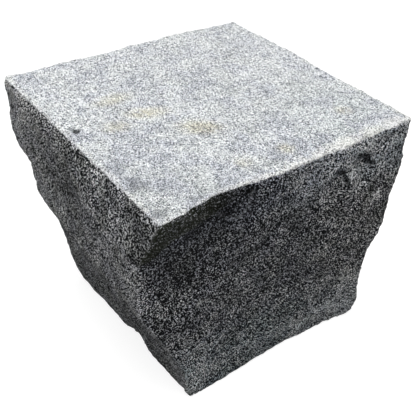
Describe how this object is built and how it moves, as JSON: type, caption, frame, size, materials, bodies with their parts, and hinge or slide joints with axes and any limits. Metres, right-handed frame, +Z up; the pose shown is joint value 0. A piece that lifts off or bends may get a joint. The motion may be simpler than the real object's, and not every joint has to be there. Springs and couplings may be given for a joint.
{
  "type": "granite sett",
  "caption": "Large cube sett of grey granite with a flamed flat head, cleft tapering sides and a flat bed, for paving.",
  "frame": {"origin": "on the bed, straight below the middle of the head's nominal rectangle", "axes": "+Z up from the bed to the head, +X along the head's long edges, -Y out of the front side with the chipped edge"},
  "size_m": [0.18, 0.1666, 0.15],
  "materials": {
    "granite": "grey fine-grained granite, flamed head, cleft sides"
  },
  "bodies": {
    "root": {"sett": "granite"}
  },
  "joints": []
}
